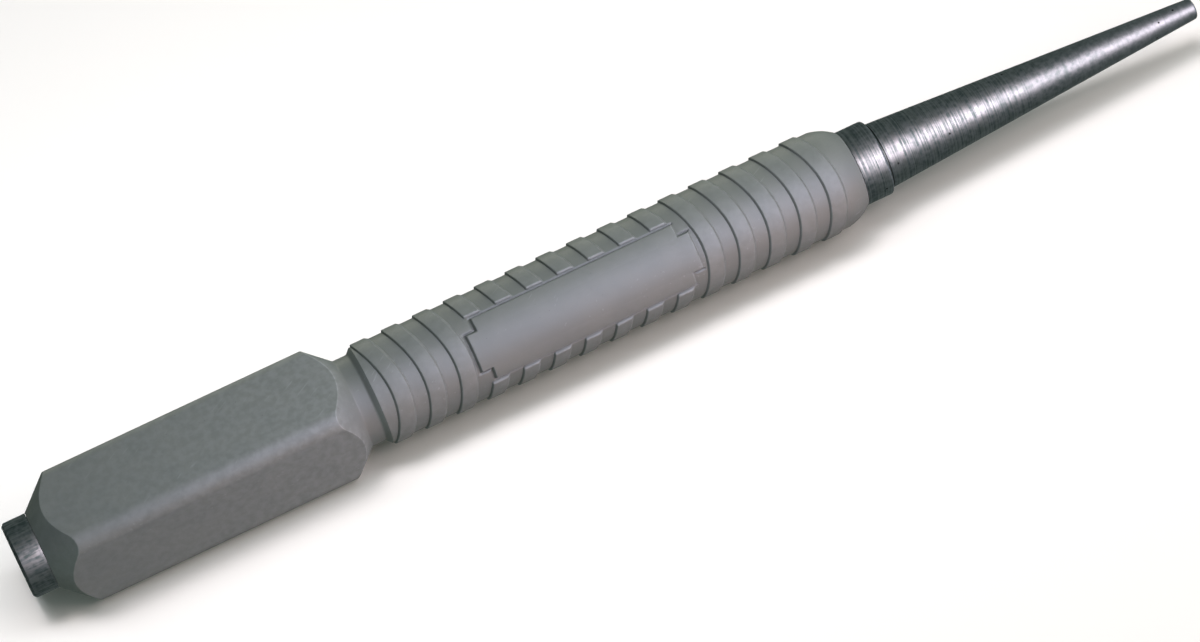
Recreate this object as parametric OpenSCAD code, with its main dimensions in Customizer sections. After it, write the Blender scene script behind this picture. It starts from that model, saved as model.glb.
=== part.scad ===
// Nail setter: a turned steel punch held in a moulded grip with a square head.
// The tool lies along X, struck face at low X and tip at high X, and rests on
// one flat of its head. The origin is under the middle of its length.

/* [Steel punch] */
// Overall length, struck face to tip
punch_length = 130; // [110:1:160]
// Diameter of the bar, bare at the struck end and at the collar
bar_d = 7.94; // [7.6:0.02:8.8]
// Bare length of bar behind the grip
stub_length = 2.6; // [1.2:0.1:6]
// Chamfer round the struck face
stub_chamfer = 0.3; // [0.1:0.05:0.8]
// Diameter of the seat turned down under the grip
seat_d = 7.2; // [6:0.1:7.6]
// Bare length of bar in front of the grip
collar_length = 2.9; // [1.2:0.1:6]
// Rounding of the collar's front edge
collar_round = 0.35; // [0.1:0.05:0.45]
// Diameter of the taper where it leaves the collar
taper_root_d = 6.95; // [4:0.05:7.1]
// Diameter of the tip's working face
tip_face_d = 1.6; // [1.3:0.1:3.2]
// Rounding of the tip's rim
tip_round = 0.3; // [0.1:0.05:0.5]
// Diameter of the cup in the working face
cup_d = 1.1; // [0.6:0.05:1.3]
// Depth of the cup in the working face
cup_depth = 0.25; // [0.1:0.05:0.5]

/* [Grip] */
// Length of the grip
grip_length = 88.4; // [76:0.2:100]
// Gap left between the moulding and the steel
mould_gap = 0.02; // [0.01:0.01:0.05]

/* [Grip head] */
// Square head across its flats
head_flats = 10.75; // [10:0.05:12.5]
// Rounding of the head's long corners
head_corner_r = 1.65; // [0.4:0.05:2.5]
// Length of the head with its conical ends
head_length = 33.3; // [26:0.1:40]
// Slope of the head's conical ends against the axis
head_cone_angle = 42.5; // [30:0.5:55]

/* [Grip barrel] */
// Diameter of the neck between head and barrel
neck_d = 9.24; // [8.4:0.02:10]
// Length of the neck
neck_length = 1.5; // [0.6:0.1:5]
// Slope of the shoulder from neck to barrel against the axis
shoulder_angle = 45; // [30:1:60]
// Diameter of the barrel between its ribs
barrel_d = 10.28; // [9.6:0.02:11]
// Length of the crowned front end of the grip
crown_length = 2.55; // [1.5:0.05:2.8]

/* [Ribs and plate] */
// Height of the ribs and of the plate over the barrel
rib_height = 0.22; // [0.1:0.01:0.4]
// Width of a rib along the tool
rib_width = 1.78; // [1:0.02:2.4]
// Width of the groove between two ribs
rib_groove = 1.6; // [0.8:0.02:2.6]
// Bare barrel between shoulder and first rib, at the grip's sides
rib_lead = 0.1; // [0.05:0.05:1]
// Radius of the arc that the ribs follow, seen square on to the plate
rib_arc_r = 11; // [8:0.5:30]
// Whole ribs behind the plate
ribs_behind = 3; // [2:1:5]
// Whole ribs in front of the plate
ribs_ahead = 5; // [2:1:6]
// Width of the plate
plate_width = 6.65; // [4.6:0.05:8]
// Width of the tabs at the plate's ends
tab_width = 4.16; // [2:0.02:4.5]
// Length of the tabs at the plate's ends
tab_length = 1.15; // [0.5:0.05:2]
// Gap between the plate's rear end and the whole rib behind it
plate_rear_gap = 0.3; // [0.15:0.05:0.8]
// Gap between the plate's front end and the whole rib ahead of it
plate_front_gap = 0.6; // [0.15:0.05:0.9]
// Gap between the plate's long sides and the cut ribs
plate_side_gap = 0.28; // [0.15:0.01:0.6]

/* [Hidden] */

// Facets of a full circle
$fn = 144;
// Overrun of every cut past the face that it leaves by
overrun = 1;

// Roll of the plate from straight up towards the front, on a corner of the head
plate_roll = 45;

// Radii
bar_r = bar_d / 2;
seat_r = seat_d / 2;
taper_root_r = taper_root_d / 2;
tip_face_r = tip_face_d / 2;
neck_r = neck_d / 2;
barrel_r = barrel_d / 2;
rib_r = barrel_r + rib_height;

// Stations along the steel, from the struck face
seat_start = stub_length;
collar_start = seat_start + grip_length + 2 * mould_gap;
collar_end = collar_start + collar_length;
rim_centre = punch_length - tip_round;

// The taper's side runs from the collar and meets the rim's rounding as a tangent
rim_run = rim_centre - collar_end;
rim_fall = taper_root_r - tip_face_r;
taper_slope = atan2(rim_fall, rim_run) - asin(tip_round / norm([rim_run, rim_fall]));

// Radius of the ball that leaves the cup
cup_ball_r = (cup_d * cup_d / 4 + cup_depth * cup_depth) / (2 * cup_depth);

// Stations along the grip, from the struck face
grip_start = seat_start + mould_gap;
grip_end = grip_start + grip_length;
head_middle = grip_start + head_length / 2;
head_end = grip_start + head_length;
neck_end = head_end + neck_length;
barrel_start = neck_end + (barrel_r - neck_r) / tan(shoulder_angle);
crown_start = grip_end - crown_length;

// The crown is part of a ball on the axis, from the barrel's edge to the bar's
crown_run = (crown_length * crown_length + barrel_r * barrel_r - bar_r * bar_r) / (2 * crown_length);
crown_r = norm([crown_run, bar_r]);

// The head's cones are drawn out to the corner of the square
head_corner_reach = head_flats / sqrt(2);

// Ribs that the barrel has room for
rib_pitch = rib_width + rib_groove;
rib_count = floor((crown_start - barrel_start - rib_lead + rib_groove) / rib_pitch);

// How far a rib's arc stands ahead of its ends at the grip's sides
rib_chord_run = sqrt(rib_arc_r * rib_arc_r - rib_r * rib_r);
rib_rise = rib_arc_r - rib_chord_run;

// The plate lies between the arcs of two whole ribs
plate_start = rib_station(ribs_behind - 1) + rib_width + rib_rise + plate_rear_gap;
plate_end = rib_station(rib_count - ribs_ahead) + rib_rise - plate_front_gap;
plate_length = plate_end - plate_start;

// Rear edge of a rib at the grip's sides
function rib_station(index) = barrel_start + rib_lead + index * rib_pitch;

// A rib beside the plate is broken by it
function is_cut_rib(index) = index >= ribs_behind && index < rib_count - ribs_ahead;

// Turns a profile drawn as radius and station into a solid along X
module turned() {
    rotate([0, 90, 0]) rotate_extrude() children();
}

// Draws out a plan, seen square on to the plate, through the whole grip
module through_grip() {
    rotate([plate_roll, 0, 0]) linear_extrude(height = 2 * (rib_r + overrun), center = true) children();
}

// Draws out such a plan from the axis through the plate's side alone
module on_plate_side() {
    rotate([plate_roll, 0, 0]) linear_extrude(height = rib_r + overrun) children();
}

// Sets the tool on its flat, with the origin under the middle of its length
module on_the_bench() {
    translate([-punch_length / 2, 0, head_flats / 2]) children();
}

module punch_profile() {
    collar_round_at = [bar_r - collar_round, collar_end - collar_round];
    rim_at = [tip_face_r, rim_centre];
    difference() {
        union() {
            polygon([
                [0, 0],
                [bar_r - stub_chamfer, 0],
                [bar_r, stub_chamfer],
                [bar_r, seat_start],
                [seat_r, seat_start],
                [seat_r, collar_start],
                [bar_r, collar_start],
                [bar_r, collar_round_at.y],
                [collar_round_at.x, collar_end],
                [taper_root_r, collar_end],
                rim_at + tip_round * [cos(taper_slope), sin(taper_slope)],
                [tip_face_r, punch_length],
                [0, punch_length]
            ]);
            translate(collar_round_at) circle(r = collar_round);
            translate(rim_at) circle(r = tip_round);
        }
        translate([0, punch_length + cup_ball_r - cup_depth]) circle(r = cup_ball_r);
    }
}

module steel_punch() {
    color([0.30, 0.31, 0.32]) on_the_bench() turned() punch_profile();
}

// Section of the head: a square with round corners
module head_section() {
    inner = head_flats - 2 * head_corner_r;
    square([head_flats, inner], center = true);
    square([inner, head_flats], center = true);
    for (y = [-1, 1], z = [-1, 1])
        translate([y, z] * inner / 2) circle(r = head_corner_r);
}

// Outline that turns both ends of the head into cones
module head_cones_profile() {
    polygon([
        [0, grip_start],
        [bar_r, grip_start],
        [head_corner_reach, grip_start + (head_corner_reach - bar_r) / tan(head_cone_angle)],
        [head_corner_reach, head_end - (head_corner_reach - neck_r) / tan(head_cone_angle)],
        [neck_r, head_end],
        [0, head_end]
    ]);
}

module head() {
    intersection() {
        translate([grip_start, 0, 0]) rotate([0, 90, 0]) linear_extrude(height = head_length) head_section();
        turned() head_cones_profile();
    }
}

// Neck, barrel and crown in one turning, started inside the head
module barrel_profile() {
    polygon([
        [0, head_middle],
        [neck_r, head_middle],
        [neck_r, neck_end],
        [barrel_r, barrel_start],
        [barrel_r, crown_start],
        [0, crown_start]
    ]);
    intersection() {
        translate([0, crown_start]) square([barrel_r, crown_length]);
        translate([0, grip_end - crown_run]) circle(r = crown_r);
    }
}

// Plan of a whole rib: a strip between two equal arcs
module rib_plan(index) {
    arc_centre = rib_station(index) - rib_chord_run;
    difference() {
        translate([arc_centre + rib_width, 0]) circle(r = rib_arc_r);
        translate([arc_centre, 0]) circle(r = rib_arc_r);
    }
}

module whole_ribs_plan() {
    for (index = [0 : rib_count - 1])
        if (!is_cut_rib(index)) rib_plan(index);
}

module cut_ribs_plan() {
    for (index = [0 : rib_count - 1])
        if (is_cut_rib(index)) rib_plan(index);
}

// Plan of the room that the cut ribs leave for the plate
module clearing_plan() {
    translate([rib_station(0), -plate_width / 2 - plate_side_gap])
        square([grip_end - rib_station(0), plate_width + 2 * plate_side_gap]);
}

// Plan of the plate: a rectangle with a narrower tab at each end
module plate_plan() {
    translate([plate_start + tab_length, -plate_width / 2])
        square([plate_length - 2 * tab_length, plate_width]);
    translate([plate_start, -tab_width / 2]) square([plate_length, tab_width]);
}

// Ribs all round and the plate between them, all of one height
module raised_pattern() {
    intersection() {
        union() {
            through_grip() whole_ribs_plan();
            difference() {
                through_grip() cut_ribs_plan();
                on_plate_side() clearing_plan();
            }
            on_plate_side() plate_plan();
        }
        translate([barrel_start, 0, 0]) rotate([0, 90, 0]) cylinder(r = rib_r, h = grip_end - barrel_start);
    }
}

module moulded_grip() {
    color([0.47, 0.49, 0.49]) on_the_bench() difference() {
        union() {
            head();
            turned() barrel_profile();
            raised_pattern();
        }
        translate([grip_start - overrun, 0, 0]) rotate([0, 90, 0])
            cylinder(r = seat_r + mould_gap, h = grip_length + 2 * overrun);
    }
}

steel_punch();
moulded_grip();
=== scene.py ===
"""Looks of a nail setter: a turned steel punch in a grey moulded grip with curved ribs."""

import logging
import math
from dataclasses import dataclass
from enum import Enum
from typing import Iterable

import bmesh
import bpy
from bpy.types import Collection, Material, Node, NodeOutputs, NodeSocket, NodeTree, Object
from mathutils import Matrix, Quaternion, Vector


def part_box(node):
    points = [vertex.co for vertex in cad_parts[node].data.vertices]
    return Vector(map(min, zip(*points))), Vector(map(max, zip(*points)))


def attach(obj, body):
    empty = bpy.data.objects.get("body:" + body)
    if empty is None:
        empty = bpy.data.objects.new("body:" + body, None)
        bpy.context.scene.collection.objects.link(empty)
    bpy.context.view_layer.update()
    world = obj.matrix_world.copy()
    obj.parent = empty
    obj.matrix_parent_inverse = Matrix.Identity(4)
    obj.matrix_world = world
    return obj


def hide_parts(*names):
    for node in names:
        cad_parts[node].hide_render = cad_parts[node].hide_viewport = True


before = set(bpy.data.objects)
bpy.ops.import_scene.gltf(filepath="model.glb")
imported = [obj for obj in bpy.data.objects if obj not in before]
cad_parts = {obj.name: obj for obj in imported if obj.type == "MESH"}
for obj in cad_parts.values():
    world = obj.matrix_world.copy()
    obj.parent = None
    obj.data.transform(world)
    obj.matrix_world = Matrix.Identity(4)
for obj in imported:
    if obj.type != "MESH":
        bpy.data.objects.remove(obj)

LOG = logging.getLogger("nail_setter")

# Sizes are in millimetres, and Blender's own unit is the metre
MM = 0.001

# Name of the vertex attribute that marks edges (above zero) and inner corners (below zero); the finishes
# paint edges lighter, as wear and painted highlight, and inner corners darker, as painted shade
EDGE_ATTRIBUTE = "edge"

# Largest share of the shorter side at a corner that its rounding takes up
ROUNDING_ROOM = 0.48

# Share of half a wave that the edge mark of an arc leaves out at each of its ends
MARK_OFFSET = 0.15

# Least slope that a rounding is divided by
LEAST_SLOPE = 1e-6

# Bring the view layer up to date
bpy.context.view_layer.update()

Range = tuple[float, float]
Colour = tuple[float, float, float, float]


class Slot(Enum):
    """Material slots of the record."""

    STEEL = "steel"
    GRIP = "grip"


class Reach(Enum):
    """What a light falls on."""

    STEEL = "steel"
    GRIP = "grip"
    TOOL = "tool"
    FLOOR = "floor"


class Span(Enum):
    """How far round the barrel a raised shape goes."""

    RING = "ring"
    PART = "part"


@dataclass(frozen=True)
class Corner:
    """A corner of an outline in the plane of the tool's axis.

    Attributes:
        station: distance from the struck face along the tool.
        radius: distance from the axis.
        rounding: radius of the arc that rounds the corner.
        edge: edge mark of a corner without an arc.
        edge_marks: strength of the edge mark on an arc, lighter on an outer arc as wear and painted
            highlight, darker on an inner one as painted shade.
    """

    station: float
    radius: float
    rounding: float = 0.0
    edge: float = 0.0
    edge_marks: float = 1.0


@dataclass(frozen=True)
class OutlinePoint:
    """A point of a rounded outline, with its share of an edge or an inner corner."""

    station: float
    radius: float
    edge: float = 0.0


def rounded_outline(corners: list[Corner], closed: bool, steps: int = 6) -> list[OutlinePoint]:
    """Round the corners of an outline that runs with the solid on its right.

    Args:
        corners: the corners in order.
        closed: whether the last corner joins the first.
        steps: facets of each arc.

    Returns:
        The outline's points, as many for a given number of rounded corners whatever its sizes.
    """
    points: list[OutlinePoint] = []
    count = len(corners)
    places = [Vector((corner.station, corner.radius)) for corner in corners]
    for index, corner in enumerate(corners):
        at_end = not closed and index in (0, count - 1)
        if corner.rounding == 0.0 or at_end:
            points.append(OutlinePoint(corner.station, corner.radius, corner.edge))
            continue
        here = places[index]
        before = here - places[index - 1]
        after = places[(index + 1) % count] - here
        room = ROUNDING_ROOM * min(before.length, after.length)
        before.normalize()
        after.normalize()
        turn = math.atan2(before.x * after.y - before.y * after.x, before.dot(after))
        slope = math.tan(abs(turn) / 2)
        rounding = min(corner.rounding, room / max(slope, LEAST_SLOPE))
        side = Vector((-before.y, before.x)) * math.copysign(rounding, turn)
        centre = here - before * rounding * slope + side
        for step in range(steps + 1):
            share = step / steps
            arm = Matrix.Rotation(turn * share, 2) @ -side
            along = MARK_OFFSET + (1 - 2 * MARK_OFFSET) * share
            # Outer arcs get a lighter mark (wear and painted highlight), inner arcs a darker one (painted
            # shade)
            edge = math.sin(math.pi * along) * -math.copysign(corner.edge_marks, turn)
            points.append(OutlinePoint(centre.x + arm.x, centre.y + arm.y, edge))
    return points


@dataclass(frozen=True)
class ToolPlace:
    """Place of the tool in the frame: its axis along X and the way that the plate faces.

    Attributes:
        start: x of the struck face.
        axis_height: height of the axis over the floor.
        plate_roll: turn of the plate from straight up towards the front.
    """

    start: float
    axis_height: float
    plate_roll: float = math.radians(45)

    @classmethod
    def from_frame(cls) -> "ToolPlace":
        """Read the place from the punch's box in the frame."""
        low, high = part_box("steel_punch")
        return cls(start=low[0] / MM, axis_height=(low[2] + high[2]) / 2 / MM)

    @property
    def facing(self) -> Vector:
        """Direction that the middle of the plate faces."""
        return Vector((0.0, -math.sin(self.plate_roll), math.cos(self.plate_roll)))

    @property
    def across(self) -> Vector:
        """Direction across the plate."""
        return Vector((0.0, math.cos(self.plate_roll), math.sin(self.plate_roll)))

    @property
    def axis_point(self) -> Vector:
        """A point on the axis, in metres."""
        return Vector((0.0, 0.0, self.axis_height)) * MM

    def point(self, station: float, radius: float, angle: float) -> Vector:
        """Place a point of the tool in the frame.

        Args:
            station: distance from the struck face.
            radius: distance from the axis.
            angle: turn about the axis from the middle of the plate, in radians.

        Returns:
            The point in metres.
        """
        out = self.facing * math.cos(angle) + self.across * math.sin(angle)
        return Vector((self.start + station, 0.0, self.axis_height)) * MM + out * radius * MM


Column = tuple[float, list[OutlinePoint]]


def mesh_from_columns(
    name: str, tool: ToolPlace, columns: list[Column], ring: bool, loop: bool
) -> Object:
    """Skin a row of outlines set at angles round the tool's axis.

    Args:
        name: name of the new object.
        tool: place of the tool.
        columns: an angle and an outline each, all outlines with as many points.
        ring: whether the last column joins the first.
        loop: whether each outline is closed. An open one starts and ends on the axis.

    Returns:
        A closed mesh object with its edge attribute, linked to the scene.
    """
    work = bmesh.new()
    layer = work.verts.layers.float.new(EDGE_ATTRIBUTE)
    rows = len(columns[0][1])
    grid: list[list[bmesh.types.BMVert]] = []
    for number, (angle, outline) in enumerate(columns):
        line: list[bmesh.types.BMVert] = []
        for row, place in enumerate(outline):
            on_axis = not loop and row in (0, rows - 1)
            if on_axis and number > 0:
                line.append(grid[0][row])
                continue
            vertex = work.verts.new(tool.point(place.station, place.radius, angle))
            vertex[layer] = place.edge
            line.append(vertex)
        grid.append(line)
    for number in range(len(grid) if ring else len(grid) - 1):
        here = grid[number]
        following = grid[(number + 1) % len(grid)]
        for row in range(rows if loop else rows - 1):
            ahead = (row + 1) % rows
            around = (here[row], here[ahead], following[ahead], following[row])
            work.faces.new(list(dict.fromkeys(around)))
    if not ring:
        work.faces.new(grid[0])
        work.faces.new(list(reversed(grid[-1])))
    bmesh.ops.recalc_face_normals(work, faces=work.faces)
    for face in work.faces:
        face.smooth = True
    mesh = bpy.data.meshes.new(name)
    work.to_mesh(mesh)
    work.free()
    piece = bpy.data.objects.new(name, mesh)
    bpy.context.collection.objects.link(piece)
    return piece


class NodeSheet:
    """Adds nodes to a tree and wires their inputs in one step."""

    def __init__(self, tree: NodeTree) -> None:
        """Keep the tree that nodes are added to."""
        self.tree = tree

    def feed(self, socket: NodeSocket, value: object) -> None:
        """Fill an input.

        Args:
            socket: the input.
            value: an output socket to link to it, or a plain value.
        """
        if isinstance(value, NodeSocket):
            self.tree.links.new(value, socket)
        else:
            socket.default_value = value

    def add(self, kind: str, inputs: dict | None = None, **settings: object) -> Node:
        """Add a node.

        Args:
            kind: the node's type name.
            inputs: values or output sockets by input name or index.
            settings: the node's own properties.

        Returns:
            The new node.
        """
        node = self.tree.nodes.new(kind)
        for name, value in settings.items():
            setattr(node, name, value)
        for key, value in (inputs or {}).items():
            self.feed(node.inputs[key], value)
        return node

    def math(self, operation: str, *values: object) -> NodeSocket:
        """Add a Math node and return its result."""
        return self.add("ShaderNodeMath", dict(enumerate(values)), operation=operation).outputs[0]

    def spread(self, mask: NodeSocket, low: float, high: float) -> NodeSocket:
        """Turn a mask from 0 to 1 into a value from low to high."""
        return self.math("MULTIPLY_ADD", mask, high - low, low)

    def vector_math(self, operation: str, *values: object) -> NodeSocket:
        """Add a Vector Math node and return its vector."""
        return self.add("ShaderNodeVectorMath", dict(enumerate(values)), operation=operation).outputs[0]

    def dot(self, first: object, second: object) -> NodeSocket:
        """Add a Vector Math node and return the dot product of two vectors."""
        node = self.add("ShaderNodeVectorMath", {0: first, 1: second}, operation="DOT_PRODUCT")
        return node.outputs["Value"]

    def combine(self, **parts: object) -> NodeSocket:
        """Add a node that makes a vector of its X, Y and Z and return it."""
        return self.add("ShaderNodeCombineXYZ", parts).outputs[0]

    def noise(
        self, vector: object, scale: object, detail: float = 2.0, roughness: float = 0.5
    ) -> NodeSocket:
        """Add a Noise Texture with that many waves to the vector's unit and return its value."""
        inputs = {"Vector": vector, "Scale": scale, "Detail": detail, "Roughness": roughness}
        return self.add("ShaderNodeTexNoise", inputs).outputs[0]

    def ramp(self, value: NodeSocket, low: float, high: float) -> NodeSocket:
        """Spread a value between low and high to 0 and 1, with soft ends."""
        inputs = {"Value": value, "From Min": low, "From Max": high}
        return self.add("ShaderNodeMapRange", inputs, interpolation_type="SMOOTHSTEP").outputs[0]

    def blend(self, factor: object, first: object, second: object) -> NodeSocket:
        """Mix two colours.

        Args:
            factor: share of the second colour.
            first: the first colour.
            second: the second colour.

        Returns:
            The mixed colour.
        """
        node = self.add("ShaderNodeMix", data_type="RGBA")
        values = {"Factor_Float": factor, "A_Color": first, "B_Color": second}
        for socket in node.inputs:
            if socket.identifier in values:
                self.feed(socket, values[socket.identifier])
        return next(socket for socket in node.outputs if socket.identifier == "Result_Color")


class EffectSheet(NodeSheet):
    """A node sheet on a new shader node group that takes a position and named values."""

    def __init__(self, name: str, values: Iterable[str], outputs: Iterable[str]) -> None:
        """Start the group with its sockets.

        Args:
            name: name of the group.
            values: names of its value inputs.
            outputs: names of its value outputs.
        """
        super().__init__(bpy.data.node_groups.new(name, "ShaderNodeTree"))
        face = self.tree.interface
        face.new_socket("Position", in_out="INPUT", socket_type="NodeSocketVector")
        for side, names in (("INPUT", values), ("OUTPUT", outputs)):
            for socket_name in names:
                face.new_socket(socket_name, in_out=side, socket_type="NodeSocketFloat")
        self.given = self.add("NodeGroupInput").outputs
        self.position = self.given["Position"]
        self.ends = self.add("NodeGroupOutput").inputs


@dataclass
class SurfaceEffects:
    """The effects that both of the tool's finishes use, each built once as a shader node group.

    Attributes:
        patch_range: range of noise over which an edge mark turns from none to full, the marks being wear
            and painted highlight on edges and painted shade in inner corners.
        patch_least: share of the edge marks that shows between the patches too.
        grain_detail: detail of the grain and of the slower unevenness.
        grain_roughness: strength of the grain's finest part.
        scratch_axes: directions along and across a scratch, each with its waves a millimetre.
        scratch_detail: detail of a scratch.
        scratch_range: range of noise over which a scratch sets in.
        scratch_patch_scale: patches of scratches a millimetre.
        scratch_patch_range: range of noise over which such a patch sets in.
    """

    patch_range: Range = (0.3, 0.7)
    patch_least: float = 0.3
    grain_detail: float = 3.0
    grain_roughness: float = 0.6
    scratch_axes: tuple[tuple[tuple[float, float, float], float], ...] = (
        ((0.8, 0.5, 0.3), 0.35),
        ((-0.5, 0.8, 0.0), 4.0),
        ((0.2, -0.3, 0.9), 4.0),
    )
    scratch_detail: float = 1.0
    scratch_range: Range = (0.68, 0.74)
    scratch_patch_scale: float = 0.22
    scratch_patch_range: Range = (0.50, 0.62)

    def __post_init__(self) -> None:
        """Build the groups."""
        self.edge_light_shade_and_wear = self._edge_light_shade_and_wear()
        self.fine_grain = self._fine_grain()
        self.scratches = self._scratches()

    def _edge_light_shade_and_wear(self) -> NodeTree:
        """Build the group that masks worn edges, which also paint edge highlights, and painted shade in
        inner corners.

        Returns:
            The group.
        """
        sheet = EffectSheet("edge_light_shade_and_wear", ("Patch Scale", "Wear And Highlight", "Corner Shade"), ("Worn And Highlight", "Shaded Corners"))
        edge = sheet.add("ShaderNodeAttribute", attribute_name=EDGE_ATTRIBUTE).outputs["Fac"]
        patches = sheet.ramp(sheet.noise(sheet.position, sheet.given["Patch Scale"]), *self.patch_range)
        broken = sheet.spread(patches, self.patch_least, 1.0)
        for sign, amount, end in ((1.0, "Wear And Highlight", "Worn And Highlight"), (-1.0, "Corner Shade", "Shaded Corners")):
            mark = sheet.math("MAXIMUM", sheet.math("MULTIPLY", edge, sign), 0.0)
            mask = sheet.math("MULTIPLY", sheet.math("MULTIPLY", mark, broken), sheet.given[amount])
            sheet.feed(sheet.ends[end], mask)
        return sheet.tree

    def _fine_grain(self) -> NodeTree:
        """Build the group that gives fine surface grain over a slower unevenness.

        Returns:
            The group.
        """
        values = ("Grain Scale", "Wave Scale", "Wave Share")
        sheet = EffectSheet("fine_grain", values, ("Height", "Mottle"))
        grain_scale = sheet.given["Grain Scale"]
        grain = sheet.noise(sheet.position, grain_scale, self.grain_detail, self.grain_roughness)
        wave = sheet.noise(sheet.position, sheet.given["Wave Scale"], self.grain_detail)
        slow = sheet.math("MULTIPLY", wave, sheet.given["Wave Share"])
        sheet.feed(sheet.ends["Height"], sheet.math("ADD", grain, slow))
        sheet.feed(sheet.ends["Mottle"], wave)
        return sheet.tree

    def _scratches(self) -> NodeTree:
        """Build the group that masks sparse short scratches, slantwise to the tool.

        Returns:
            The group.
        """
        sheet = EffectSheet("scratches", ("Amount",), ("Scratched",))
        turned = {}
        for axis, (direction, scale) in zip("XYZ", self.scratch_axes):
            turned[axis] = sheet.math("MULTIPLY", sheet.dot(sheet.position, direction), scale)
        line_noise = sheet.noise(sheet.combine(**turned), 1.0, self.scratch_detail)
        lines = sheet.ramp(line_noise, *self.scratch_range)
        patch_noise = sheet.noise(sheet.position, self.scratch_patch_scale)
        some = sheet.math("MULTIPLY", lines, sheet.ramp(patch_noise, *self.scratch_patch_range))
        sheet.feed(sheet.ends["Scratched"], sheet.math("MULTIPLY", some, sheet.given["Amount"]))
        return sheet.tree


class MaterialSheet(NodeSheet):
    """A node sheet on a new material."""

    def __init__(self, name: str) -> None:
        """Start a material with its shader alone.

        Args:
            name: name of the material.
        """
        self.material = bpy.data.materials.new(name)
        self.material.use_nodes = True
        super().__init__(self.material.node_tree)

    def drive(self, values: dict[str, object]) -> None:
        """Fill the shader's inputs by name."""
        for name, value in values.items():
            self.feed(self.tree.nodes["Principled BSDF"].inputs[name], value)


class ToolSheet(MaterialSheet):
    """A node sheet on a new material of the tool, with places on the tool in millimetres.

    Attributes:
        position: place from a point on the axis.
        parts: the position's X, Y and Z.
        turning: way along the turned outline, over flat faces and along the axis alike.
    """

    def __init__(self, name: str, tool: ToolPlace) -> None:
        """Start the material.

        Args:
            name: name of the material.
            tool: place of the tool.
        """
        super().__init__(name)
        place = self.add("ShaderNodeTexCoord").outputs["Object"]
        centred = self.vector_math("SUBTRACT", place, tool.axis_point)
        self.position = self.vector_math("MULTIPLY", centred, Vector((1.0, 1.0, 1.0)) / MM)
        self.parts = self.add("ShaderNodeSeparateXYZ", {0: self.position}).outputs
        flat = self.vector_math("MULTIPLY", self.position, (0.0, 1.0, 1.0))
        radius = self.add("ShaderNodeVectorMath", {0: flat}, operation="LENGTH").outputs["Value"]
        self.turning = self.math("ADD", self.parts["X"], radius)

    def place(self, group: NodeTree, values: dict[str, float]) -> NodeOutputs:
        """Place a shared effect in the material with its own values and return its outputs."""
        inputs = {"Position": self.position, **values}
        return self.add("ShaderNodeGroup", inputs, node_tree=group).outputs

    def emboss(self, height: NodeSocket, depth: float, before: NodeSocket | None = None) -> NodeSocket:
        """Add a bump.

        Args:
            height: height of the surface, in depths.
            depth: depth of the bump, in millimetres.
            before: an earlier bump that it lies on.

        Returns:
            The embossed normal.
        """
        inputs = {"Height": height, "Distance": depth * MM, "Strength": 1.0}
        if before is not None:
            inputs["Normal"] = before
        return self.add("ShaderNodeBump", inputs).outputs[0]


@dataclass(frozen=True)
class Spots:
    """Small dark spots that lie in patches over a surface.

    Attributes:
        scale: spots a millimetre.
        rim: where a spot starts to show, in spacings from its middle.
        core: where it is full, in spacings from its middle.
        patch_scale: patches a millimetre.
        patch_range: range of noise over which a patch sets in.
        amount: how much a spot hides.
    """

    scale: float
    rim: float
    core: float
    patch_scale: float
    patch_range: Range
    amount: float

    def mask(self, sheet: ToolSheet) -> NodeSocket:
        """Add the nodes that mask the spots.

        Args:
            sheet: the material that has the spots.

        Returns:
            The mask.
        """
        inputs = {"Vector": sheet.position, "Scale": self.scale}
        near = sheet.add("ShaderNodeTexVoronoi", inputs).outputs["Distance"]
        patches = sheet.ramp(sheet.noise(sheet.position, self.patch_scale), *self.patch_range)
        spots = sheet.math("MULTIPLY", sheet.ramp(near, self.rim, self.core), patches)
        return sheet.math("MULTIPLY", spots, self.amount)


@dataclass(frozen=True)
class DrawnMarks:
    """Fine marks that are drawn out one way.

    Attributes:
        along: waves a millimetre along the turned outline.
        across: waves a millimetre across the tool.
        detail: detail of the marks.
    """

    along: float
    across: float
    detail: float = 3.0

    def height(self, sheet: ToolSheet) -> NodeSocket:
        """Add the nodes that draw the marks.

        Args:
            sheet: the material that has the marks.

        Returns:
            Their height, from 0 to 1.
        """
        places = {"X": sheet.math("MULTIPLY", sheet.turning, self.along)}
        for axis in "YZ":
            places[axis] = sheet.math("MULTIPLY", sheet.parts[axis], self.across)
        return sheet.noise(sheet.combine(**places), 1.0, self.detail)


@dataclass(frozen=True)
class SurfaceMarks:
    """What the shared effects give a material.

    Attributes:
        worn_and_highlight: mask of worn edges, which also paints their highlights.
        scratched: mask of scratches.
        shade_and_spots: mask of painted shade in inner corners, and of dark spots.
        grain: height of the surface grain.
        mottle: slow unevenness.
    """

    worn_and_highlight: NodeSocket
    scratched: NodeSocket
    shade_and_spots: NodeSocket
    grain: NodeSocket
    mottle: NodeSocket


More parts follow.
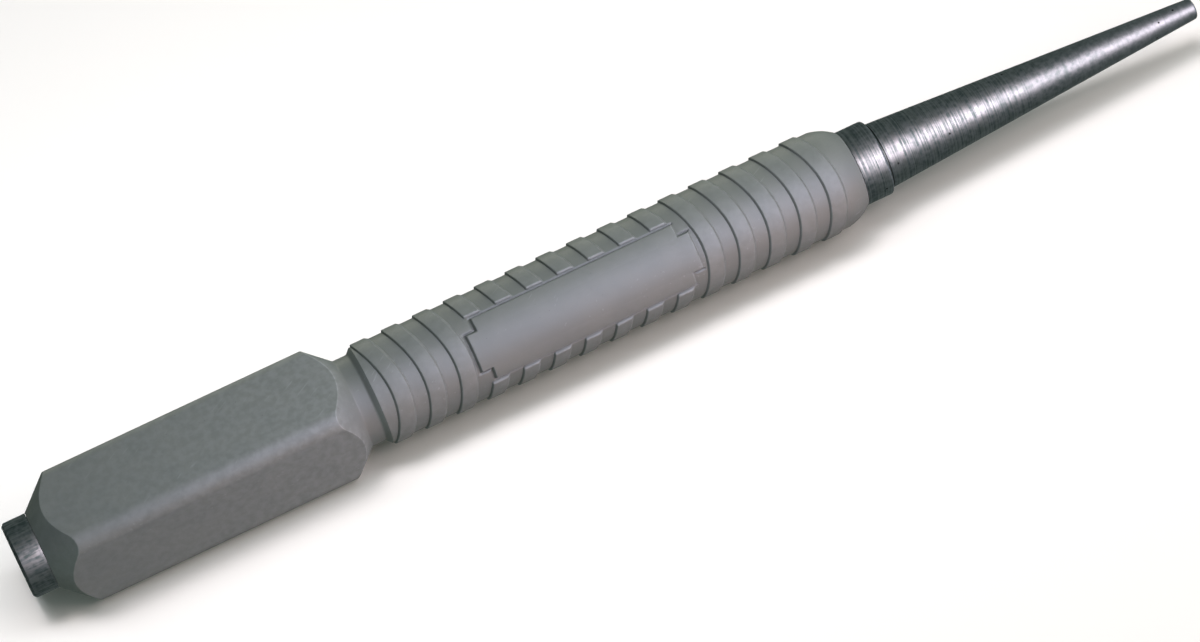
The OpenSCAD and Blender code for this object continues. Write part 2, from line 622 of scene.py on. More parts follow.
@dataclass(frozen=True)
class ToolFinish:
    """What both finishes of the tool have.

    Attributes:
        name: name of the material.
        rubbed_and_highlight: colour of worn edges, of their painted highlights and of scratches.
        shade_and_spot_colour: colour of the painted shade in inner corners and of dark spots.
        grain_depth: depth of the surface grain.
        grain_scale: grains a millimetre.
        wave_scale: waves of the slower unevenness a millimetre.
        wave_share: height of those waves beside the grain's.
        patch_scale: patches of the edge marks a millimetre.
        edge_marks: strength of the lighter marks on edges, partly wear and partly painted highlight.
        corner_shade: strength of the painted shade in inner corners.
        scratches: strength of the scratches.
        spots: the dark spots.
    """

    name: str
    rubbed_and_highlight: Colour
    shade_and_spot_colour: Colour
    grain_depth: float
    grain_scale: float
    wave_scale: float
    wave_share: float
    patch_scale: float
    edge_marks: float
    corner_shade: float
    scratches: float
    spots: Spots

    def marks(self, sheet: ToolSheet, effects: SurfaceEffects) -> SurfaceMarks:
        """Place the shared effects in the finish's material with its own values.

        Args:
            sheet: the material.
            effects: the shared node groups.

        Returns:
            What the effects give.
        """
        grain_values = {
            "Grain Scale": self.grain_scale,
            "Wave Scale": self.wave_scale,
            "Wave Share": self.wave_share,
        }
        # Edge marks: lighter worn edges that also paint edge highlights, and painted shade in inner
        # corners
        mark_values = {"Patch Scale": self.patch_scale, "Wear And Highlight": self.edge_marks, "Corner Shade": self.corner_shade}
        grain = sheet.place(effects.fine_grain, grain_values)
        edge_marks = sheet.place(effects.edge_light_shade_and_wear, mark_values)
        scratches = sheet.place(effects.scratches, {"Amount": self.scratches})
        # Painted shade in inner corners, joined with the dark spots
        shade_and_spots = sheet.math("MAXIMUM", edge_marks["Shaded Corners"], self.spots.mask(sheet))
        scratched = scratches["Scratched"]
        return SurfaceMarks(edge_marks["Worn And Highlight"], scratched, shade_and_spots, grain["Height"], grain["Mottle"])


@dataclass(frozen=True)
class MouldedRubber(ToolFinish):
    """Matte grey rubber as it leaves the mould, a little mottled and rubbed along its edges, with painted
    highlights on its edges and painted shade in its inner corners.
    """

    name: str = "moulded_grey_rubber"
    grey: Colour = (0.121, 0.127, 0.123, 1.0)
    dusty: Colour = (0.135, 0.139, 0.132, 1.0)
    # Lighter colour of rubbed edges and of painted edge highlights, then dark colour of painted corner
    # shade and of spots
    rubbed_and_highlight: Colour = (0.240, 0.246, 0.246, 1.0)
    shade_and_spot_colour: Colour = (0.045, 0.047, 0.046, 1.0)
    roughness_low: float = 0.48
    roughness_high: float = 0.60
    specular_level: float = 0.85
    grain_depth: float = 0.006
    grain_scale: float = 9.0
    wave_scale: float = 0.35
    wave_share: float = 1.5
    patch_scale: float = 1.3
    # Strength of the lighter edge marks (wear and painted highlight) and of the painted corner shade
    edge_marks: float = 0.5
    corner_shade: float = 0.25
    scratches: float = 0.45
    spots: Spots = Spots(1.6, 0.12, 0.05, 0.5, (0.55, 0.65), 0.5)
    mottle_range: Range = (0.3, 0.7)
    speckle_scale: float = 5.0
    speckle_detail: float = 3.0
    speckle_range: Range = (0.35, 0.75)
    speckle_share: float = 0.35
    seam_width: float = 0.05
    seam_depth: float = 0.02

    def material(self, effects: SurfaceEffects, tool: ToolPlace) -> Material:
        """Build the material.

        Args:
            effects: the shared node groups.
            tool: place of the tool, for the mould's parting line.

        Returns:
            The material.
        """
        sheet = ToolSheet(self.name, tool)
        marks = self.marks(sheet, effects)
        speckle_noise = sheet.noise(sheet.position, self.speckle_scale, self.speckle_detail)
        speckle = sheet.ramp(speckle_noise, *self.speckle_range)
        mottle = sheet.ramp(marks.mottle, *self.mottle_range)
        dust = sheet.math("MULTIPLY_ADD", speckle, self.speckle_share, mottle)
        colour = sheet.blend(dust, self.grey, self.dusty)
        # Worn edges, lightened also as painted edge highlights
        colour = sheet.blend(marks.worn_and_highlight, colour, self.rubbed_and_highlight)
        colour = sheet.blend(marks.scratched, colour, self.rubbed_and_highlight)
        # Painted shade in inner corners, and dark spots
        colour = sheet.blend(marks.shade_and_spots, colour, self.shade_and_spot_colour)
        seam = sheet.emboss(self._seam(sheet, tool), self.seam_depth)
        values = {
            "Base Color": colour,
            "Roughness": sheet.spread(speckle, self.roughness_low, self.roughness_high),
            "Specular IOR Level": self.specular_level,
            "Normal": sheet.emboss(marks.grain, self.grain_depth, seam),
        }
        sheet.drive(values)
        return sheet.material

    def _seam(self, sheet: ToolSheet, tool: ToolPlace) -> NodeSocket:
        """Return the height of the fine line that the mould's parting leaves along both sides."""
        height = sheet.dot(sheet.position, tool.facing)
        return sheet.ramp(sheet.math("ABSOLUTE", height), self.seam_width, 0.0)


@dataclass(frozen=True)
class TurnedSteel(ToolFinish):
    """Dark oiled steel with fine turning marks, a few pits, bright rubbed edges that also paint edge
    highlights, and painted shade in its inner corners.
    """

    name: str = "dark_turned_steel"
    dark: Colour = (0.026, 0.054, 0.049, 1.0)
    bright: Colour = (0.138, 0.156, 0.152, 1.0)
    # Lighter colour of rubbed places and of painted edge highlights, then dark colour of painted corner
    # shade and of pits
    rubbed_and_highlight: Colour = (0.315, 0.330, 0.350, 1.0)
    shade_and_spot_colour: Colour = (0.012, 0.014, 0.014, 1.0)
    dark_roughness: float = 0.52
    bright_roughness: float = 0.40
    grain_depth: float = 0.0012
    grain_scale: float = 14.0
    wave_scale: float = 0.6
    wave_share: float = 0.3
    patch_scale: float = 2.0
    # Strength of the lighter edge marks (wear and painted highlight) and of the painted corner shade
    edge_marks: float = 0.8
    corner_shade: float = 1.0
    scratches: float = 0.3
    spots: Spots = Spots(0.9, 0.13, 0.08, 0.3, (0.52, 0.60), 1.0)
    coarse_marks: DrawnMarks = DrawnMarks(1.3, 0.05)
    fine_marks: DrawnMarks = DrawnMarks(6.0, 0.08)
    fine_share: float = 0.72
    stub_streaks: DrawnMarks = DrawnMarks(0.5, 3.2)
    stub_blend: float = 1.0
    marks_depth: float = 0.006
    marks_range: Range = (0.39, 0.61)
    marks_fade: Range = (0.58, 0.22)
    marks_at_tip: float = 0.2
    plain_share: float = 0.30
    tip_rub: Range = (0.5, 0.9)
    rubbed_at_tip: float = 0.2

    def material(self, effects: SurfaceEffects, punch: "SteelPunch") -> Material:
        """Build the material.

        Args:
            effects: the shared node groups.
            punch: the piece, for where its stub ends and how far its turning marks go.

        Returns:
            The material.
        """
        sheet = ToolSheet(self.name, punch.tool)
        marks = self.marks(sheet, effects)
        relief = self._relief(sheet, punch)
        fade = self._along_taper(sheet, punch, self.marks_fade)
        strength = sheet.spread(fade, self.marks_at_tip, 1.0)
        contrast = sheet.math("SUBTRACT", sheet.ramp(relief, *self.marks_range), self.plain_share)
        lines = sheet.math("MULTIPLY_ADD", contrast, strength, self.plain_share)
        near_tip = self._along_taper(sheet, punch, self.tip_rub)
        colour = sheet.blend(lines, self.dark, self.bright)
        colour = sheet.blend(sheet.math("MULTIPLY", near_tip, self.rubbed_at_tip), colour, self.rubbed_and_highlight)
        # Worn edges, lightened also as painted edge highlights, and scratches
        colour = sheet.blend(sheet.math("MAXIMUM", marks.worn_and_highlight, marks.scratched), colour, self.rubbed_and_highlight)
        # Painted shade in inner corners, and dark pits
        colour = sheet.blend(marks.shade_and_spots, colour, self.shade_and_spot_colour)
        turned = sheet.emboss(sheet.math("MULTIPLY", relief, strength), self.marks_depth)
        values = {
            "Base Color": colour,
            "Metallic": 1.0,
            "Roughness": sheet.spread(lines, self.dark_roughness, self.bright_roughness),
            "Normal": sheet.emboss(marks.grain, self.grain_depth, turned),
        }
        sheet.drive(values)
        return sheet.material

    def _relief(self, sheet: ToolSheet, punch: "SteelPunch") -> NodeSocket:
        """Draw the turning marks round the tool, and the short streaks along its struck stub.

        Args:
            sheet: the material.
            punch: the piece.

        Returns:
            The height of the marks, from 0 to 1.
        """
        coarse = sheet.math("MULTIPLY", self.coarse_marks.height(sheet), 1.0 - self.fine_share)
        turned = sheet.math("MULTIPLY_ADD", self.fine_marks.height(sheet), self.fine_share, coarse)
        front = punch.tool.start + punch.stub_length
        on_stub = sheet.ramp(sheet.parts["X"], front + self.stub_blend, front - self.stub_blend)
        inputs = {"Factor": on_stub, "A": turned, "B": self.stub_streaks.height(sheet)}
        return sheet.add("ShaderNodeMix", inputs).outputs[0]

    @staticmethod
    def _along_taper(sheet: ToolSheet, punch: "SteelPunch", shares: Range) -> NodeSocket:
        """Mask one end of the taper.

        Args:
            sheet: the material.
            punch: the piece.
            shares: where the mask is 0 and where it is 1, in shares of the taper from the collar.

        Returns:
            The mask.
        """
        root = punch.tool.start + punch.collar_end
        low, high = (root + share * (punch.length - punch.collar_end) for share in shares)
        return sheet.ramp(sheet.parts["X"], low, high)


@dataclass(frozen=True)
class FloorFinish:
    """Plain pale studio floor, hardly clouded."""

    name: str = "pale_floor"
    pale: Colour = (0.93, 0.875, 0.855, 1.0)
    shaded: Colour = (0.91, 0.855, 0.835, 1.0)
    cloud_scale: float = 6.0
    roughness: float = 0.9
    specular_level: float = 0.1

    def material(self) -> Material:
        """Build the material.

        Returns:
            The material.
        """
        sheet = MaterialSheet(self.name)
        place = sheet.add("ShaderNodeTexCoord").outputs["Object"]
        values = {
            "Base Color": sheet.blend(sheet.noise(place, self.cloud_scale), self.pale, self.shaded),
            "Roughness": self.roughness,
            "Specular IOR Level": self.specular_level,
        }
        sheet.drive(values)
        return sheet.material


def dress(piece: Object, material: Material) -> None:
    """Give a piece its material and the body that it rides on.

    Args:
        piece: the piece.
        material: its material.
    """
    piece.data.materials.clear()
    piece.data.materials.append(material)
    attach(piece, "root")
    LOG.info("piece %s: %d faces", piece.name, len(piece.data.polygons))


@dataclass(frozen=True)
class SteelPunch:
    """The turned punch: struck stub, seat under the grip, collar, taper and cupped tip."""

    tool: ToolPlace
    length: float = 130.0
    bar_d: float = 7.94
    stub_length: float = 2.6
    stub_chamfer: float = 0.3
    seat_d: float = 7.2
    seat_length: float = 88.44
    collar_length: float = 2.9
    collar_round: float = 0.35
    relief_width: float = 0.22
    relief_depth: float = 0.1
    taper_root_d: float = 6.95
    tip_face_d: float = 1.6
    tip_round: float = 0.3
    cup_d: float = 1.1
    cup_depth: float = 0.25
    edge_break: float = 0.08
    segments: int = 192

    @property
    def bar_r(self) -> float:
        """Radius of the bar."""
        return self.bar_d / 2

    @property
    def collar_start(self) -> float:
        """Station where the collar starts."""
        return self.stub_length + self.seat_length

    @property
    def collar_end(self) -> float:
        """Station where the collar ends."""
        return self.collar_start + self.collar_length

    def outline(self) -> list[OutlinePoint]:
        """Lay out the turned outline from the middle of the struck face to the middle of the cup.

        Returns:
            The outline's points.
        """
        taper_root_r = self.taper_root_d / 2
        tip_outer_r = self.tip_face_d / 2 + self.tip_round
        slope = (taper_root_r - tip_outer_r) / (self.length - self.collar_end)
        relief_end = self.collar_end + self.relief_width
        relief_r = taper_root_r - self.relief_depth
        seat_r = self.seat_d / 2
        corners = [
            Corner(0.0, 0.0),
            Corner(0.0, self.bar_r - self.stub_chamfer, self.edge_break),
            Corner(self.stub_chamfer, self.bar_r, self.edge_break),
            Corner(self.stub_length, self.bar_r, self.edge_break / 2),
            Corner(self.stub_length, seat_r),
            Corner(self.collar_start, seat_r),
            Corner(self.collar_start, self.bar_r, self.edge_break / 2),
            Corner(self.collar_end, self.bar_r, self.collar_round),
            Corner(self.collar_end, relief_r, self.edge_break),
            Corner(relief_end, relief_r, self.edge_break),
            Corner(relief_end, taper_root_r - slope * self.relief_width, self.edge_break),
            Corner(self.length, tip_outer_r, self.tip_round),
            Corner(self.length, self.cup_d / 2, self.edge_break),
        ]
        return rounded_outline(corners, closed=False)[:-1] + self._cup()

    def _cup(self, steps: int = 6) -> list[OutlinePoint]:
        """Lay out the hollow of the tip's face.

        Args:
            steps: facets from its rim to its middle.

        Returns:
            Its points, from the rim on.
        """
        rim = self.cup_d / 2
        ball = (rim * rim + self.cup_depth * self.cup_depth) / (2 * self.cup_depth)
        half = math.asin(rim / ball)
        centre = self.length + ball - self.cup_depth
        turns = (half * (1 - step / steps) for step in range(steps + 1))
        return [OutlinePoint(centre - ball * math.cos(turn), ball * math.sin(turn)) for turn in turns]

    def build(self) -> Object:
        """Turn the outline round the axis.

        Returns:
            The punch.
        """
        outline = self.outline()
        columns = [(2 * math.pi * number / self.segments, outline) for number in range(self.segments)]
        return mesh_from_columns("punch", self.tool, columns, ring=True, loop=False)

    def dress(self, piece: Object, material: Material) -> None:
        """Give the punch its steel and hide its CAD node."""
        dress(piece, material)
        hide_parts("steel_punch")


@dataclass(frozen=True)
class RibSection:
    """One section of a rib.

    Attributes:
        angle: turn about the axis from the middle of the plate.
        height_share: share of the full height.
        edge_marks: strength of its edge marks, which are wear and painted highlight.
    """

    angle: float
    height_share: float = 1.0
    edge_marks: float = 1.0


class RibRow:
    """Geometry Nodes tree that bends one rib to its arc and repeats it along the tool."""

    def __init__(self) -> None:
        """Build the tree."""
        self.tree = bpy.data.node_groups.new("rib_row", "GeometryNodeTree")
        face = self.tree.interface
        face.new_socket("Geometry", in_out="INPUT", socket_type="NodeSocketGeometry")
        for name, kind in (
            ("Count", "NodeSocketInt"),
            ("Pitch", "NodeSocketFloat"),
            ("Arc Radius", "NodeSocketFloat"),
            ("Arc Reach", "NodeSocketFloat"),
            ("Across", "NodeSocketVector"),
            ("Axis Point", "NodeSocketVector"),
            ("Finish", "NodeSocketMaterial"),
        ):
            face.new_socket(name, in_out="INPUT", socket_type=kind)
        face.new_socket("Geometry", in_out="OUTPUT", socket_type="NodeSocketGeometry")
        self._wire()

    def _wire(self) -> None:
        """Place and link the nodes."""
        sheet = NodeSheet(self.tree)
        given = sheet.add("NodeGroupInput").outputs
        place = sheet.add("GeometryNodeInputPosition").outputs[0]
        arm = sheet.vector_math("SUBTRACT", place, given["Axis Point"])
        here = self._run(sheet, given["Arc Radius"], sheet.dot(arm, given["Across"]))
        at_sides = self._run(sheet, given["Arc Radius"], given["Arc Reach"])
        offset = sheet.combine(X=sheet.math("SUBTRACT", here, at_sides))
        step = sheet.combine(X=given["Pitch"])
        bend = {"Geometry": given["Geometry"], "Offset": offset}
        bent = sheet.add("GeometryNodeSetPosition", bend).outputs[0]
        line = sheet.add("GeometryNodeMeshLine", {"Count": given["Count"], "Offset": step}).outputs[0]
        row = sheet.add("GeometryNodeInstanceOnPoints", {"Points": line, "Instance": bent}).outputs[0]
        solid = sheet.add("GeometryNodeRealizeInstances", {"Geometry": row}).outputs[0]
        finish = {"Geometry": solid, "Material": given["Finish"]}
        dressed = sheet.add("GeometryNodeSetMaterial", finish).outputs[0]
        sheet.add("NodeGroupOutput", {"Geometry": dressed})

    @staticmethod
    def _run(sheet: NodeSheet, radius: NodeSocket, aside: NodeSocket) -> NodeSocket:
        """Return how far along the tool an arc lies from its centre at that distance aside."""
        squares = (sheet.math("MULTIPLY", side, side) for side in (radius, aside))
        return sheet.math("SQRT", sheet.math("SUBTRACT", *squares))

    def apply(self, piece: Object, values: dict[str, object]) -> None:
        """Run the tree on a piece and keep the result as its plain mesh.

        Args:
            piece: object whose mesh is one rib.
            values: the tree's inputs by name.
        """
        modifier = piece.modifiers.new("rib_row", "NODES")
        modifier.node_group = self.tree
        for item in self.tree.interface.items_tree:
            if item.in_out == "INPUT" and item.name in values:
                modifier[item.identifier] = values[item.name]
        graph = bpy.context.evaluated_depsgraph_get()
        mesh = bpy.data.meshes.new_from_object(piece.evaluated_get(graph))
        piece.modifiers.remove(modifier)
        mesh.name = piece.name
        piece.data = mesh


@dataclass(frozen=True)
class MouldedGrip:
    """The moulded grip: square head, neck, shoulder, ribbed barrel with a plate, and crown."""

    punch: SteelPunch
    mould_gap: float = 0.02

    # Head, neck, shoulder, barrel and crown
    head_flats: float = 10.75
    head_corner_r: float = 1.65
    head_length: float = 33.3
    head_cone_angle: float = 42.5
    neck_d: float = 9.24
    neck_length: float = 1.5
    shoulder_length: float = 0.52
    barrel_d: float = 10.28
    crown_length: float = 2.55

    # Ribs, with the share of a flank by which their feet stand out past their width
    rib_height: float = 0.22
    rib_width: float = 1.78
    rib_groove: float = 1.6
    rib_lead: float = 0.1
    rib_count: int = 15
    ribs_behind: int = 3
    ribs_ahead: int = 5
    rib_arc_r: float = 11.0
    rib_flank: float = 0.22
    rib_foot_share: float = 0.45

    # Cut end of a rib: way in from the end in flanks, share of the height and strength of the edge mark,
    # raised to paint a highlight along the cut end
    rib_end: tuple[tuple[float, float, float], ...] = (
        (0.0, 0.03, 0.0),
        (0.55, 0.72, 2.0),
        (1.0, 1.0, 3.0),
        (1.4, 1.0, 1.0),
    )

    # Plate with a tab at each end and a fine groove round its foot
    plate_width: float = 6.65
    tab_width: float = 4.16
    tab_length: float = 1.15
    plate_rear_gap: float = 0.3
    plate_front_gap: float = 0.6
    plate_side_gap: float = 0.28
    plate_flank: float = 0.2
    plate_groove_width: float = 0.24
    plate_groove_depth: float = 0.14

    # Share of that groove that is missing at the plate's front end
    plate_front_fade: float = 0.8

    # Points across that groove and up the plate's flank, in shares of their widths
    groove_points: tuple[float, ...] = (0.2, 0.4, 0.7, 1.1, 1.6)
    flank_points: tuple[float, ...] = (0.0, 0.2, 0.4, 0.6, 0.8, 1.0, 1.3)

    # Place and spread of the light line along the plate's edge, in flanks, partly wear and partly painted
    # highlight
    plate_crest_place: float = 0.8
    plate_crest_spread: float = 0.35

    # Strength of the edge marks, where a plain edge has 1: painted highlight along the head's front arcs
    # and at the ribs' front feet, painted shade in the neck's two inner corners and in the plate's groove
    head_front_highlight: float = 2.2
    neck_shade: float = 0.2
    shoulder_shade: float = 0.6
    rib_front_highlight: float = 0.8
    plate_groove_shade: float = 3.6

    # Roundings, depth of the ribs' roots in the barrel, and closeness of the mesh
    edge_round: float = 0.22
    soft_round: float = 0.35
    rib_round: float = 0.07
    embed: float = 0.4
    segments: int = 288
    rib_arc_steps: int = 4
    least_step: float = 0.02

    @property
    def tool(self) -> ToolPlace:
        """Place of the tool."""
        return self.punch.tool

    @property
    def start(self) -> float:
        """Station of the grip's rear end."""
        return self.punch.stub_length + self.mould_gap

    @property
    def end(self) -> float:
        """Station of the grip's front end."""
        return self.punch.collar_start - self.mould_gap

    @property
    def head_end(self) -> float:
        """Station where the head's front cone meets the neck."""
        return self.start + self.head_length

    @property
    def barrel_start(self) -> float:
        """Station where the shoulder reaches the barrel."""
        return self.head_end + self.neck_length + self.shoulder_length

    @property
    def barrel_r(self) -> float:
        """Radius of the barrel between its ribs."""
        return self.barrel_d / 2

    @property
    def rib_r(self) -> float:
        """Radius of the ribs' crests."""
        return self.barrel_r + self.rib_height

    @property
    def rib_pitch(self) -> float:
        """Distance from rib to rib."""
        return self.rib_width + self.rib_groove

    @property
    def rib_rise(self) -> float:
        """How far a rib's arc stands ahead of its ends at the grip's sides."""
        return self.rib_arc_r - math.sqrt(self.rib_arc_r**2 - self.rib_r**2)

    @property
    def tab_start(self) -> float:
        """Station where the plate's rear tab starts."""
        rib_front = self.rib_station(self.ribs_behind - 1) + self.rib_width
        return rib_front + self.rib_rise + self.plate_rear_gap

    @property
    def tab_end(self) -> float:
        """Station where the plate's front tab ends."""
        return self.rib_station(self.rib_count - self.ribs_ahead) + self.rib_rise - self.plate_front_gap

    def half_arc(self, width: float) -> float:
        """Half of a width across the plate, along the ribs' crests."""
        return math.asin(width / 2 / self.rib_r) * self.rib_r

    def rib_station(self, index: int) -> float:
        """Station of a rib's rear foot at the grip's sides."""
        return self.barrel_start + self.rib_lead + index * self.rib_pitch

    def head_radius(self, angle: float) -> float:
        """Find the reach of the head's rounded square.

        Args:
            angle: turn about the axis from the middle of the plate, where a corner is.

        Returns:
            The distance of its surface from the axis.
        """
        half = self.head_flats / 2
        inner = half - self.head_corner_r
        from_flat = abs(angle % (math.pi / 2) - math.pi / 4)
        if math.tan(from_flat) <= inner / half:
            return half / math.cos(from_flat)
        along = inner * (math.cos(from_flat) + math.sin(from_flat))
        return along + math.sqrt(along**2 - 2 * inner**2 + self.head_corner_r**2)

    def _plate_border(self, station: float, angle: float) -> tuple[float, float]:
        """Find the plate's outline near a place on the barrel.

        Args:
            station: distance from the struck face.
            angle: turn about the axis from the middle of the plate.

        Returns:
            The distance from the outline, below zero on the plate, and 1 where it faces the tip.
        """
        aside = abs(math.remainder(angle, 2 * math.pi)) * self.rib_r
        borders = []
        for inset, width in ((self.tab_length, self.plate_width), (0.0, self.tab_width)):
            behind = self.tab_start + inset - station
            ahead = station - self.tab_end + inset
            beside = aside - self.half_arc(width)
            out = math.hypot(max(behind, ahead, 0.0), max(beside, 0.0))
            gap = out if out > 0.0 else max(behind, ahead, beside)
            faces_tip = 1.0 if ahead >= max(behind, beside) else 0.0
            borders.append((gap, faces_tip))
        return min(borders)

    def _plate_corner(self, station: float, angle: float) -> Corner:
        """Lift the plate off the barrel, with a fine groove round its foot but for its front end, and
        mark the light line along its edge and the painted shade in the groove.

        Args:
            station: distance from the struck face.
            angle: turn about the axis from the middle of the plate.

        Returns:
            The point of the barrel or the plate there.
        """
        gap, faces_tip = self._plate_border(station, angle)
        up = min(max(-gap / self.plate_flank, 0.0), 1.0)
        lift = self.rib_height * up * up * (3 - 2 * up)
        sink = self._bell(gap, self.plate_groove_width / 3, self.plate_groove_width / 2)
        sink *= 1.0 - self.plate_front_fade * faces_tip
        crest_gap = -self.plate_crest_place * self.plate_flank
        crest = self._bell(gap, crest_gap, self.plate_crest_spread * self.plate_flank)
        # Light line along the plate's edge, partly wear and partly painted highlight, twice as strong
        # where the edge faces the tip; painted shade in the groove
        mark = crest * (1.0 + faces_tip) - self.plate_groove_shade * sink
        return Corner(station, self.barrel_r + lift - self.plate_groove_depth * sink, edge=mark)

    @staticmethod
    def _bell(value: float, middle: float, spread: float) -> float:
        """Rise to 1 at the middle of a bell curve."""
        return math.exp(-(((value - middle) / spread) ** 2))

    def _border_steps(self) -> list[float]:
        """List the distances from a line of the plate's outline where the moulding needs points."""
        groove = (self.plate_groove_width * share for share in self.groove_points)
        return sorted([*groove, *(-self.plate_flank * share for share in self.flank_points)])

    def _barrel_stations(self) -> list[float]:
        """List the stations of the barrel's points, close together at the plate's ends.

        Returns:
            The stations in order.
        """
        stations = []
        for inset in (0.0, self.tab_length):
            for step in self._border_steps():
                stations += [self.tab_start + inset - step, self.tab_end - inset + step]
        return sorted(stations)

    def _angles(self) -> list[float]:
        """List the angles of the moulding's sections, close together at the plate's sides.

        Returns:
            The angles in order.
        """
        even = [2 * math.pi * number / self.segments for number in range(self.segments)]
        close = []
        for width in (self.plate_width, self.tab_width):
            for step in self._border_steps():
                angle = (self.half_arc(width) + step) / self.rib_r
                close += [angle, 2 * math.pi - angle]
        apart = self.least_step / self.rib_r
        kept = [angle for angle in even if all(abs(angle - other) > apart for other in close)]
        return sorted(kept + close)

    def _crown(self, steps: int = 10) -> list[Corner]:
        """Lay out the ball-shaped front end.

        Args:
            steps: facets from the barrel to the bar.

        Returns:
            Its points from the barrel on, without the last one on the bar.
        """
        bar_r = self.punch.bar_r
        run = (self.crown_length**2 + self.barrel_r**2 - bar_r**2) / (2 * self.crown_length)
        ball = math.hypot(run, bar_r)
        corners = []
        for step in range(steps):
            ahead = run - self.crown_length * (1 - step / steps)
            corners.append(Corner(self.end - run + ahead, math.sqrt(ball**2 - ahead**2)))
        return corners

    def outline(self, angle: float) -> list[OutlinePoint]:
        """Lay out a section of the moulding.

        Args:
            angle: turn about the axis from the middle of the plate.

        Returns:
            The section's points as a closed loop.
        """
        bore_r = self.punch.seat_d / 2 + self.mould_gap
        bar_r = self.punch.bar_r
        neck_r = self.neck_d / 2
        reach = self.head_radius(angle)
        slope = math.tan(math.radians(self.head_cone_angle))
        rear_edge = self.start + (reach - bar_r) / slope
        front_edge = self.head_end - (reach - neck_r) / slope
        corners = [
            Corner(self.start, bore_r),
            Corner(self.start, bar_r, self.rib_round / 2),
            Corner(rear_edge, reach, self.edge_round),
            # Painted highlight along the head's front arcs; weaker painted shade in the neck's two inner
            # corners
            Corner(front_edge, reach, self.edge_round, edge_marks=self.head_front_highlight),
            Corner(self.head_end, neck_r, self.soft_round, edge_marks=self.neck_shade),
            Corner(self.head_end + self.neck_length, neck_r, self.soft_round, edge_marks=self.shoulder_shade),
            Corner(self.barrel_start, self.barrel_r, self.rib_round),
            *(self._plate_corner(station, angle) for station in self._barrel_stations()),
            *self._crown(),
            Corner(self.end, bar_r, self.edge_round),
            Corner(self.end, bore_r),
        ]
        return rounded_outline(corners, closed=True)

    def build_body(self) -> Object:
        """Skin head, neck, barrel, plate and crown as one moulding and return it."""
        columns = [(angle, self.outline(angle)) for angle in self._angles()]
        return mesh_from_columns("grip_body", self.tool, columns, ring=True, loop=True)

    def _rib(self, name: str, number: int, sections: list[RibSection], span: Span) -> Object:
        """Skin one straight rib on the barrel.

        Args:
            name: name of the new object.
            number: its number, counted from the head.
            sections: its sections in order round the barrel.
            span: how far round it goes.

        Returns:
            The closed rib, sunk a little into the barrel.
        """
        root = self.barrel_r - self.embed
        out = self.rib_flank * self.rib_foot_share
        rear = self.rib_station(number) - out
        front = self.rib_station(number) + self.rib_width + out
        columns = []
        for section in sections:
            crest = self.barrel_r + self.rib_height * section.height_share
            corners = [
                Corner(rear, root),
                Corner(rear, self.barrel_r),
                Corner(rear + self.rib_flank, crest, self.rib_round, edge_marks=section.edge_marks),
                Corner(front - self.rib_flank, crest, self.rib_round, edge_marks=section.edge_marks),
                # Painted highlight at the rib's front foot
                Corner(front, self.barrel_r, edge=self.rib_front_highlight),
                Corner(front, root),
            ]
            columns.append((section.angle, rounded_outline(corners, True, self.rib_arc_steps)))
        return mesh_from_columns(name, self.tool, columns, ring=span is Span.RING, loop=True)

    def _cut_rib(self, low: float, high: float, steps: int) -> list[RibSection]:
        """List the sections of a rib that slopes down at both of its cut ends.

        Args:
            low: angle of its first end.
            high: angle of its last end.
            steps: sections between the slopes.

        Returns:
            The sections in order.
        """
        flank = self.plate_flank / self.rib_r
        rise = [RibSection(low + flank * way, share, edge_marks) for way, share, edge_marks in self.rib_end]
        fall = [RibSection(high - flank * way, share, edge_marks) for way, share, edge_marks in self.rib_end[::-1]]
        start = rise[-1].angle
        room = fall[0].angle - start
        return [*rise, *(RibSection(start + room * step / steps) for step in range(1, steps)), *fall]

    def build_ribs(self, row: RibRow, material: Material) -> list[Object]:
        """Make the ribs behind, beside and ahead of the plate, each row from one rib.

        Args:
            row: the tree that bends and repeats a rib.
            material: finish of the ribs.

        Returns:
            One piece a row.
        """
        half_gap = math.asin((self.plate_width / 2 + self.plate_side_gap) / self.rib_r)
        half_gap -= self.plate_flank / 2 / self.rib_r
        beside = self.rib_count - self.ribs_behind - self.ribs_ahead
        turn = 2 * math.pi / self.segments
        whole = [RibSection(turn * number) for number in range(self.segments)]
        room = 2 * math.pi - 2 * half_gap
        cut = self._cut_rib(half_gap, 2 * math.pi - half_gap, int(room / turn))
        rows = (
            ("ribs_behind_plate", 0, self.ribs_behind, whole, Span.RING),
            ("ribs_beside_plate", self.ribs_behind, beside, cut, Span.PART),
            ("ribs_ahead_of_plate", self.ribs_behind + beside, self.ribs_ahead, whole, Span.RING),
        )
        shared = {
            "Pitch": self.rib_pitch * MM,
            "Arc Radius": self.rib_arc_r * MM,
            "Arc Reach": self.rib_r * MM,
            "Across": self.tool.across,
            "Axis Point": self.tool.axis_point,
            "Finish": material,
        }
        pieces = []
        for name, first, count, sections, span in rows:
            piece = self._rib(name, first, sections, span)
            row.apply(piece, {"Count": count, **shared})
            pieces.append(piece)
        return pieces

    def dress(self, pieces: list[Object], material: Material) -> None:
        """Give the grip's pieces their rubber and hide the CAD node.

        Args:
            pieces: the body and the rows of ribs.
            material: the rubber.
        """
        for piece in pieces:
            dress(piece, material)
        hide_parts("moulded_grip")


